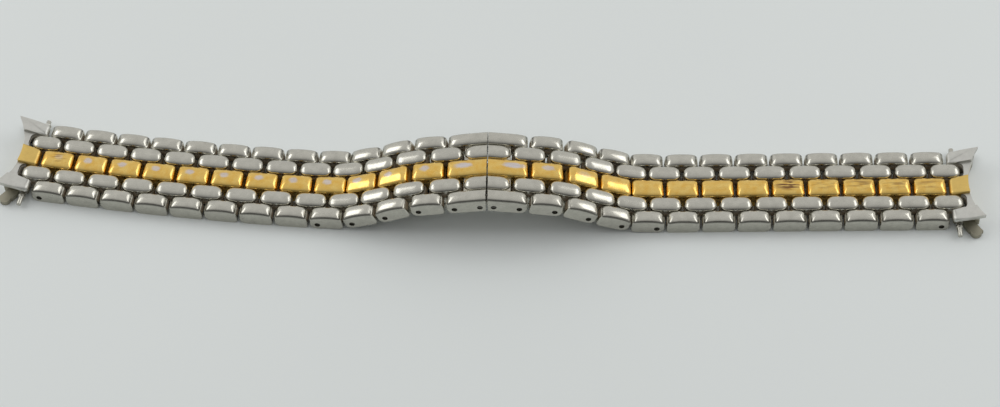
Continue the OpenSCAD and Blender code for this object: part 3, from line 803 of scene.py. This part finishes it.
def end_link_pieces(sizes):
    """The end link's steel body and its gold block."""
    s = sizes
    case_far = s.horn_x + 1
    gold_half = s.gold_width / 2
    body = scooped_floor(s)
    for sign in (-1, 1):
        y0, y1 = sorted((sign * s.bar_y, sign * s.ear_in))
        corners = (s.ear_round, s.ear_round / 2)[::-sign]
        shape = (y0, y1, s.edge_height, s.plate_thick, s.nose_round, corners)
        join(body, sloped_plate(s, s.ear_x0, case_far, *shape))
        y0, y1 = sorted((sign * s.cheek_y, sign * s.ear_in))
        join(body, box(0, case_far, y0, y1, s.under, top_height(s, 0, s.floor_height) - 0.2))
        join(body, rod(0, 0, y0, y1, s.pin_height, sides=64))
        join(body, box(-s.pin_height, 0.01, y0, y1, 0, top_height(s, -s.pin_height, s.floor_height)))
    block_top = top_height(s, -s.pin_height, s.edge_height) - s.gold_thick
    join(body, box(-s.pin_height, s.pocket_x + s.plate_thick, -gold_half, gold_half, 0, block_top))
    join(body, rod(0, 0, -gold_half, gold_half, s.pin_height, sides=64))
    wall_outer = s.case_radius + s.wall_thick
    wall = ring_wall(s, s.case_radius - 0.5, wall_outer, s.under, top_height(s, 0, s.floor_height))
    keep(wall, box(0, case_far, -s.cheek_y, s.cheek_y, s.under - 1, s.crown))
    join(body, wall)
    front_tongue = tongue(s)
    back_tongue = mirrored(front_tongue)
    join(body, front_tongue)
    join(body, back_tongue)
    cut_case_and_bar(s, body, s.through_y)
    corners = (s.gold_round, s.gold_round)
    shape = (case_far, -gold_half, gold_half, s.edge_height, s.gold_thick, s.nose_round, corners)
    gold = sloped_plate(s, s.ear_x0, *shape)
    cut_case_and_bar(s, gold, gold_half + 1)
    side, deep = gold_half + GOLD_FIT, s.gold_thick + 1 + 2 * GOLD_FIT
    cut(body, sloped_plate(s, s.ear_x0 - GOLD_FIT, case_far, -side, side, s.edge_height + 1, deep, 0.1))
    soften(body, 0.05)
    soften(gold, 0.07)
    return finish_template(body), finish_template(gold)


def spring_bar_piece(sizes):
    """Spring bar: a tube with a flange and a thinner tip at each end."""
    s = sizes
    tube_y = s.bar_y - s.tube_inset
    flange_y = tube_y + s.flange_width
    tip_y = flange_y + s.flange_width
    bar = rod(0, 0, -tube_y, tube_y, s.bar_radius)
    join(bar, rod(0, 0, -flange_y - 0.1, flange_y + 0.1, s.neck_radius))
    for sign in (-1, 1):
        for near, far, radius in (
            (flange_y, tip_y, s.bar_radius),
            (tip_y - 0.1, s.bar_y + s.tip_reach, s.tip_radius),
        ):
            join(bar, rod(0, 0, *sorted((sign * near, sign * far)), radius))
    soften(bar, 0.07)
    return finish_template(bar)


def feed(tree, value, socket):
    """Links a socket's value to another socket, or sets the socket to a plain value."""
    if isinstance(value, bpy.types.NodeSocket):
        tree.links.new(value, socket)
    else:
        socket.default_value = value


def add_node(tree, kind, inputs=None, **settings):
    """A shader node with its settings, and its sockets set or linked."""
    made = tree.nodes.new(kind)
    for key, value in settings.items():
        setattr(made, key, value)
    for key, value in (inputs or {}).items():
        feed(tree, value, made.inputs[key])
    return made


def maths(tree, operation, *values):
    return add_node(tree, "ShaderNodeMath", dict(enumerate(values)), operation=operation).outputs[0]


def ramp(tree, value, start, end, top=1.0):
    """Rises from 0 at the start to the top at the end, and stays level beyond them."""
    inputs = {"Value": value, "From Min": start, "From Max": end, "To Max": top}
    return add_node(tree, "ShaderNodeMapRange", inputs).outputs["Result"]


def noise(tree, vector, scale, detail, **inputs):
    inputs = {"Vector": vector, "Scale": scale, "Detail": detail, **inputs}
    return add_node(tree, "ShaderNodeTexNoise", inputs).outputs["Fac"]


def stretched(tree, vector, scale, turn=0.0):
    inputs = {"Vector": vector, "Rotation": (0.0, 0.0, turn), "Scale": scale}
    return add_node(tree, "ShaderNodeMapping", inputs).outputs["Vector"]


def split(tree, vector):
    return add_node(tree, "ShaderNodeSeparateXYZ", {"Vector": vector}).outputs


def attribute(tree, name, output):
    return add_node(tree, "ShaderNodeAttribute", attribute_name=name).outputs[output]


def group_tree(name, numbers):
    """An empty node group that turns a vector and numbers into a mask, and its input and output sockets."""
    tree = bpy.data.node_groups.new(name, "ShaderNodeTree")
    tree.interface.new_socket("Vector", in_out="INPUT", socket_type="NodeSocketVector")
    for socket, default in numbers.items():
        kind = "NodeSocketVector" if default is None else "NodeSocketFloat"
        made = tree.interface.new_socket(socket, in_out="INPUT", socket_type=kind)
        if default is not None:
            made.default_value = default
    tree.interface.new_socket("Mask", in_out="OUTPUT", socket_type="NodeSocketFloat")
    given = tree.nodes.new("NodeGroupInput").outputs
    return tree, given, tree.nodes.new("NodeGroupOutput").inputs["Mask"]


def use_group(tree, group, inputs):
    return add_node(tree, "ShaderNodeGroup", inputs, node_tree=bpy.data.node_groups[group]).outputs["Mask"]


def build_hairlines():
    """Fine scratches: thin lines along the strap crossed by a few at a slant."""
    tree, given, result = group_tree("Hairlines", {"Fineness": 1.0})
    masks = []
    for turn, low in SCRATCH_LAYERS:
        turned = stretched(tree, given["Vector"], SCRATCH_GRAIN, turn)
        inputs = {0: turned, "Scale": given["Fineness"]}
        scaled = add_node(tree, "ShaderNodeVectorMath", inputs, operation="SCALE")
        masks.append(ramp(tree, noise(tree, scaled.outputs["Vector"], 1.0, 2.0), low, low + SCRATCH_FADE))
    most = maths(tree, "MAXIMUM", masks[0], masks[1])
    tree.links.new(maths(tree, "MAXIMUM", most, masks[2]), result)


def build_clouds():
    """Smudges: soft clouds with smaller ones in them."""
    tree, given, result = group_tree("Smudges", {"Size": 900.0})
    clouds = noise(tree, given["Vector"], given["Size"], 3.0, Roughness=0.6)
    tree.links.new(ramp(tree, clouds, *SMUDGE_LEVELS), result)


def build_seam_grime():
    """Grime that has settled low between the rows and links, never on the outer side faces."""
    tree, given, result = group_tree("Seam grime", {"Place": None, "Clean above": 1.6, "Dirty below": 0.9})
    parts = split(tree, given["Place"])
    wobble = maths(tree, "MULTIPLY_ADD", noise(tree, given["Vector"], 1400.0, 3.0), 0.5, parts["Z"])
    low = ramp(tree, wobble, given["Clean above"], given["Dirty below"])
    inside = ramp(tree, maths(tree, "ABSOLUTE", parts["Y"]), *GRIME_SIDES)
    mask = maths(tree, "MULTIPLY", low, inside)
    rubbed = ramp(tree, parts["Z"], *RUBBED_UNDERSIDE)
    tree.links.new(maths(tree, "MULTIPLY", mask, rubbed), result)


def blend_colour(tree, mask, first, second):
    made = add_node(tree, "ShaderNodeMix", data_type="RGBA")
    sockets = [s for s in made.inputs if s.enabled]
    for socket, value in zip(sockets, (mask, first, second)):
        feed(tree, value, socket)
    return next(s for s in made.outputs if s.enabled)


def rgba(colour_value, scale=1.0):
    return (*[c * scale for c in colour_value], 1.0)


def metal(name, roughness, bump):
    """A metal with nothing on its colour yet, and the vectors that its finish reads."""
    made = bpy.data.materials.new(name)
    made.use_nodes = True
    tree = made.node_tree
    sockets = tree.nodes["Principled BSDF"].inputs
    sockets["Metallic"].default_value = 1.0
    sockets["Roughness"].default_value = roughness
    position = add_node(tree, "ShaderNodeTexCoord").outputs["Object"]
    place = attribute(tree, PLACE_IN_LINK, "Vector")
    hairlines = use_group(tree, "Hairlines", {"Vector": position})
    smudges = use_group(tree, "Smudges", {"Vector": position})
    dents = noise(tree, position, DENT_SCALE, 2.0)
    height = maths(tree, "MULTIPLY_ADD", hairlines, SCRATCH_DEPTH, dents)
    inputs = {"Height": height, "Strength": bump, "Distance": RELIEF_METRES}
    relief = add_node(tree, "ShaderNodeBump", inputs)
    tree.links.new(relief.outputs["Normal"], sockets["Normal"])
    return SimpleNamespace(
        tree=tree, sockets=sockets, position=position, place=place, hairlines=hairlines, smudges=smudges
    )


def finish_metal(m, tone, base, smudge, scratch, grime=None):
    """Gives the metal its colour, and a roughness that rises with smudges, scratches and grime."""
    m.tree.links.new(tone, m.sockets["Base Color"])
    value = maths(m.tree, "MULTIPLY_ADD", m.smudges, smudge, base)
    value = maths(m.tree, "MULTIPLY_ADD", m.hairlines, scratch, value)
    if grime is not None:
        value = maths(m.tree, "MULTIPLY_ADD", grime, GRIME_ROUGHNESS, value)
        cover(m, grime)
    m.tree.links.new(value, m.sockets["Roughness"])


def cover(m, mask):
    """Takes the metal's shine away where the mask lies."""
    m.tree.links.new(maths(m.tree, "SUBTRACT", 1.0, mask), m.sockets["Metallic"])


def polished_steel(name, finish, roughness):
    m = metal(name, roughness, 0.03)
    grime = use_group(m.tree, "Seam grime", {"Place": m.place, "Vector": m.position})
    tone = blend_colour(m.tree, m.smudges, rgba(finish.steel), rgba(finish.steel, 0.86))
    scratches = maths(m.tree, "MULTIPLY", m.hairlines, 0.12 * finish.scratches)
    tone = blend_colour(m.tree, scratches, tone, rgba(finish.steel, 0.7))
    tone = blend_colour(m.tree, grime, tone, rgba(finish.grime))
    # Painted shade: a near-black line painted along the side pieces' edge, standing in for the dark reflection
    # there
    crease = maths(m.tree, "MULTIPLY", attribute(m.tree, PAINTED_CREASE_SHADE, "Fac"), 0.95)
    tone = blend_colour(m.tree, crease, tone, rgba(finish.crease))
    finish_metal(m, tone, roughness, 0.1 * finish.smudges, 0.12, grime)


def gold_plate(name, finish, roughness):
    """Plating with bare metal at the crown where it has worn, and dark marks where it was scraped."""
    m = metal(name, roughness, 0.03)
    tree = m.tree
    heights = {"Clean above": 1.4, "Dirty below": 0.7}
    grime = use_group(tree, "Seam grime", {"Place": m.place, "Vector": m.position, **heights})
    worn = split(tree, attribute(tree, WORN, "Vector"))
    parts = split(tree, m.place)
    along = maths(tree, "DIVIDE", maths(tree, "SUBTRACT", parts["X"], worn["Y"]), worn["Z"])
    across = maths(tree, "DIVIDE", maths(tree, "SUBTRACT", parts["Y"], WORN_Y), WORN_HALF_WIDTH)
    # Only the crown wears, so the lower faces count as far away
    below = ramp(tree, parts["Z"], *WORN_HEIGHTS, FAR_AWAY)
    spot = add_node(tree, "ShaderNodeCombineXYZ", {"X": along, "Y": across, "Z": below}).outputs["Vector"]
    far = add_node(tree, "ShaderNodeVectorMath", {0: spot}, operation="LENGTH").outputs["Value"]
    edge = maths(tree, "MULTIPLY_ADD", noise(tree, m.position, 1500.0, 4.0), 1.1, far)
    patch = maths(tree, "MULTIPLY", ramp(tree, edge, *WORN_EDGE), worn["X"])
    tone = blend_colour(tree, m.smudges, rgba(finish.gold), rgba(finish.deep_gold))
    tone = blend_colour(tree, patch, tone, rgba(finish.bare))
    streaks = stretched(tree, m.position, MARKS_GRAIN)
    marks = ramp(tree, noise(tree, streaks, 1.0, 3.0), *MARKS_LEVELS)
    marks = maths(tree, "MULTIPLY", marks, ramp(tree, far, *MARKS_EDGE))
    marks = maths(tree, "MULTIPLY", marks, attribute(tree, SCRATCHED, "Fac"))
    tone = blend_colour(tree, marks, tone, rgba(finish.scrape))
    tone = blend_colour(tree, grime, tone, rgba(finish.gold_grime))
    finish_metal(m, tone, roughness, 0.1 * finish.smudges, 0.1, grime)


def brushed(name, base, roughness):
    """Brushed metal: fine grain along the strap, a little darker in the grain."""
    m = metal(name, roughness, 0.4)
    lines = noise(m.tree, stretched(m.tree, m.position, BRUSHED_GRAIN), 1.0, 2.0)
    tone = blend_colour(m.tree, lines, rgba(base), rgba(base, 0.8))
    tone = blend_colour(m.tree, maths(m.tree, "MULTIPLY", m.smudges, 0.4), tone, rgba(base, 0.7))
    finish_metal(m, tone, roughness, 0.1, 0.1)
    return m, tone


def satin_steel(name, finish, roughness):
    """Brushed steel, darker towards the foot, with painted light on the pocket floors between the raised bars:
    a pale tone there without shine.
    """
    m, tone = brushed(name, finish.satin, roughness)
    parts = split(m.tree, m.place)
    # Darker, browner colour towards the foot
    tone = blend_colour(m.tree, ramp(m.tree, parts["Z"], *DARKER_FOOT_HEIGHTS), tone, rgba(finish.dull))
    # Painted light on the low pocket floors between the raised bars, in place of their bright lips; the shine
    # is taken away there
    middle = ramp(m.tree, maths(m.tree, "ABSOLUTE", parts["Y"]), *PAINTED_LIGHT_SIDES)
    hidden = maths(m.tree, "MULTIPLY", ramp(m.tree, parts["Z"], *PAINTED_LIGHT_HEIGHTS), middle)
    tone = blend_colour(m.tree, hidden, tone, rgba(finish.sheltered))
    cover(m, hidden)
    m.tree.links.new(tone, m.sockets["Base Color"])


def finishes():
    """The strap's materials, built at first use."""
    if "Polished steel" not in bpy.data.materials:
        finish = bpy.context.scene.strap_finish
        build_hairlines()
        build_clouds()
        build_seam_grime()
        polished_steel("Polished steel", finish, 0.18)
        polished_steel("Brick steel", finish, 0.2)
        gold_plate("Gold plate", finish, 0.17)
        satin_steel("Satin steel", finish, 0.38)
        brushed("Satin gold", finish.gold, 0.34)
        brushed("Blade steel", finish.steel, 0.3)
        # Pins painted at a fifth of the steel colour: painted shade, so that their ends look as dark as the
        # shaded holes round them
        brushed("Pin steel in painted shade", [0.2 * c for c in finish.steel], 0.35)
        brushed("Bar steel", finish.steel, 0.22)
    return bpy.data.materials


class STRAP_OT_outer_links(bpy.types.Operator):
    """Models the side and gold pieces of the outer links and their pins"""

    bl_idname = "strap.outer_links"
    bl_label = "Outer links"

    def execute(self, context):
        sizes = strap_sizes()
        made = outer_pieces(sizes)
        for half in HALVES:
            for k in range(1, OUTER_COUNT + 1):
                node = f"{half}_outer_{k:02d}"
                place = place_of(half, 2 * k, sizes)
                side, pins = ("drilled", "open_pins") if k in DRILLED else ("side", "pins")
                lay(made[side], node, "front", place, "link_steel", "Polished steel")
                lay(made["back"], node, "back", place, "link_steel", "Polished steel")
                lay(made[pins], node, "pins", place, "link_steel", "Pin steel in painted shade")
                lay(made["gold"], node, "gold", place, "link_steel", "Gold plate", *gold_wear(half, k))
        discard(*made.values())
        return {"FINISHED"}


def gold_wear(half, k):
    """Where an outer link's plating is worn through and how badly it is scraped, counted from the clasp."""
    if half == "left":
        return ((0.75, 1.9, 0.7), 0.1) if k < OUTER_COUNT else ((0.3, 1.2, 0.6), 0.6)
    if k == 1:
        return (0.7, 1.6, 0.9), 0.1
    return (0.25 if k == 2 else 0.0, 1.4, 1.1), SCRAPED.get(k, 0.08)


class STRAP_OT_brick_links(bpy.types.Operator):
    """Models the brick pieces of the inner links"""

    bl_idname = "strap.brick_links"
    bl_label = "Brick links"

    def execute(self, context):
        sizes = strap_sizes()
        for last in (False, True):
            front, back = brick_pair(sizes, last)
            for half in HALVES:
                for k in [INNER_COUNT] if last else range(1, INNER_COUNT):
                    node = f"{half}_inner_{k:02d}"
                    place = place_of(half, 2 * k - 1, sizes)
                    lay(front, node, "front", place, "brick_steel", "Brick steel")
                    lay(back, node, "back", place, "brick_steel", "Brick steel")
            discard(front, back)
        return {"FINISHED"}


class STRAP_OT_clasp_ends(bpy.types.Operator):
    """Models the two end pieces that meet over the clasp"""

    bl_idname = "strap.clasp_ends"
    bl_label = "Clasp end pieces"

    def execute(self, context):
        sizes = strap_sizes()
        body, cap, pins = clasp_end_pieces(sizes)
        for half, worn in CLASP_END_WEAR.items():
            node, place = f"{half}_terminal", place_of(half, 0, sizes)
            lay(body, node, "body", place, "link_steel", "Polished steel")
            lay(cap, node, "cap", place, "link_steel", "Gold plate", worn, scratched=0.1)
            lay(pins, node, "pins", place, "link_steel", "Pin steel in painted shade")
        discard(body, cap, pins)
        return {"FINISHED"}


class STRAP_OT_end_links(bpy.types.Operator):
    """Models the end links that fit the watch case, with their gold blocks"""

    bl_idname = "strap.end_links"
    bl_label = "Case end links"

    def execute(self, context):
        sizes = strap_sizes()
        body, gold = end_link_pieces(sizes)
        for half in HALVES:
            node, place = f"{half}_end_link", place_of(half, LAST_SEGMENT, sizes)
            lay(body, node, "body", place, "end_steel", "Satin steel")
            lay(gold, node, "gold", place, "end_steel", "Satin gold")
        discard(body, gold)
        return {"FINISHED"}


class STRAP_OT_spring_bars(bpy.types.Operator):
    """Models the spring bars that hold the strap to the watch"""

    bl_idname = "strap.spring_bars"
    bl_label = "Spring bars"

    def execute(self, context):
        sizes = strap_sizes()
        bar = spring_bar_piece(sizes)
        for half in HALVES:
            place = place_of(half, LAST_SEGMENT, sizes)
            lay(bar, f"{half}_spring_bar", "tube", place, "bar_steel", "Bar steel")
        discard(bar)
        return {"FINISHED"}


class STRAP_OT_clasp(bpy.types.Operator):
    """Finishes the folding clasp under the strap"""

    bl_idname = "strap.clasp"
    bl_label = "Folding clasp"

    def execute(self, context):
        for name in ("bridge", "right_blade", "left_blade"):
            for slot in frame["nodes"][name].material_slots:
                slot.material = finishes()["Blade steel"]
        return {"FINISHED"}


class STRAP_OT_stage(bpy.types.Operator):
    """Builds the pale floor, the soft boxes and the camera"""

    bl_idname = "strap.stage"
    bl_label = "Floor, light and camera"

    def execute(self, context):
        stage = context.scene.strap_stage
        build_floor(stage)
        build_light(stage)
        build_camera(stage)
        context.scene.view_settings.view_transform = "Standard"
        return {"FINISHED"}


def build_floor(stage):
    deselect()
    bpy.ops.mesh.primitive_plane_add(size=4, location=(0, 0, 0))
    floor = bpy.context.object
    floor.name = "floor"
    made = bpy.data.materials.new("Pale table")
    made.use_nodes = True
    tree = made.node_tree
    shader = tree.nodes["Principled BSDF"]
    shader.inputs["Roughness"].default_value = 0.75
    shader.inputs["Specular IOR Level"].default_value = 0.2
    position = add_node(tree, "ShaderNodeTexCoord").outputs["Object"]
    mottle = noise(tree, position, 14.0, 3.0)
    tone = blend_colour(tree, mottle, rgba(stage.floor), rgba(stage.floor, 0.97))
    tree.links.new(tone, shader.inputs["Base Color"])
    floor.data.materials.append(made)


def build_light(stage):
    """Room light that dims low in front, where the camera stands, and a soft box on each side."""
    world = bpy.data.worlds.new("Room")
    bpy.context.scene.world = world
    world.use_nodes = True
    tree = world.node_tree
    background = tree.nodes["Background"]
    direction = add_node(tree, "ShaderNodeTexCoord").outputs["Generated"]
    share_back = ramp(tree, split(tree, direction)["Y"], -1.0, 1.0)
    levels = add_node(tree, "ShaderNodeValToRGB", {"Fac": share_back})
    stops = levels.color_ramp.elements
    stops[0].position, stops[0].color = ROOM_STOPS[0][0], rgba(stage.room, ROOM_STOPS[0][1])
    stops[1].position, stops[1].color = ROOM_STOPS[-1][0], rgba(stage.room, ROOM_STOPS[-1][1])
    for position, level in ROOM_STOPS[1:-1]:
        stops.new(position).color = rgba(stage.room, level)
    tree.links.new(levels.outputs["Color"], background.inputs["Color"])
    background.inputs["Strength"].default_value = stage.room_strength
    x, y, z = stage.lamp_place
    for name, place in (("left_box", (-x, y, z)), ("right_box", (x, y, z))):
        lamp = bpy.data.lights.new(name, "AREA")
        lamp.shape = "RECTANGLE"
        lamp.size, lamp.size_y = stage.lamp_width, stage.lamp_height
        lamp.energy = stage.lamp_power
        holder = bpy.data.objects.new(name, lamp)
        bpy.context.scene.collection.objects.link(holder)
        holder.location = place
        holder.rotation_euler = (Vector((0, 0, 0)) - Vector(place)).to_track_quat("-Z", "Y").to_euler()


def build_camera(stage):
    """A camera that looks down on the strap with a slight turn and roll."""
    low, turn, roll = stage.camera_elevation, stage.camera_azimuth, stage.camera_roll
    forward = Vector((math.sin(turn) * math.cos(low), math.cos(turn) * math.cos(low), -math.sin(low)))
    level = Vector((math.cos(turn), -math.sin(turn), 0))
    upright = level.cross(forward)
    right = math.cos(roll) * level + math.sin(roll) * upright
    up = math.cos(roll) * upright - math.sin(roll) * level
    columns = [right, up, -forward, Vector(stage.camera_place)]
    camera = bpy.data.cameras.new("camera")
    camera.sensor_width = 36
    camera.lens = stage.camera_lens
    camera.clip_start = 0.01
    holder = bpy.data.objects.new("camera", camera)
    bpy.context.scene.collection.objects.link(holder)
    holder.matrix_world = Matrix([[c[axis] for c in columns] for axis in range(3)] + [[0, 0, 0, 1]])
    bpy.context.scene.camera = holder


class STRAP_PT_panel(bpy.types.Panel):
    """Lists the strap's sizes, finishes and pieces"""

    bl_idname = "STRAP_PT_panel"
    bl_label = "Watch strap"
    bl_space_type = "VIEW_3D"
    bl_region_type = "UI"
    bl_category = "Strap"

    def draw(self, context):
        for title, group in (
            ("Sizes", context.scene.strap_sizes),
            ("Finish", context.scene.strap_finish),
            ("Stage", context.scene.strap_stage),
        ):
            part = self.layout.box()
            part.label(text=title)
            for prop in group.bl_rna.properties:
                if prop.identifier not in ("rna_type", "name"):
                    part.prop(group, prop.identifier)
        for operator in OPERATORS:
            self.layout.operator(operator.bl_idname)


OPERATORS = (
    STRAP_OT_outer_links,
    STRAP_OT_brick_links,
    STRAP_OT_clasp_ends,
    STRAP_OT_end_links,
    STRAP_OT_spring_bars,
    STRAP_OT_clasp,
    STRAP_OT_stage,
)
CLASSES = (StrapSizes, StrapFinish, StrapStage, *OPERATORS, STRAP_PT_panel)


def register():
    for cls in CLASSES:
        bpy.utils.register_class(cls)
    bpy.types.Scene.strap_sizes = PointerProperty(type=StrapSizes)
    bpy.types.Scene.strap_finish = PointerProperty(type=StrapFinish)
    bpy.types.Scene.strap_stage = PointerProperty(type=StrapStage)


def unregister():
    del bpy.types.Scene.strap_stage
    del bpy.types.Scene.strap_finish
    del bpy.types.Scene.strap_sizes
    for cls in reversed(CLASSES):
        bpy.utils.unregister_class(cls)


def main():
    register()
    bpy.ops.strap.outer_links()
    bpy.ops.strap.brick_links()
    bpy.ops.strap.clasp_ends()
    bpy.ops.strap.end_links()
    bpy.ops.strap.spring_bars()
    bpy.ops.strap.clasp()
    bpy.ops.strap.stage()


if __name__ == "__main__":
    main()
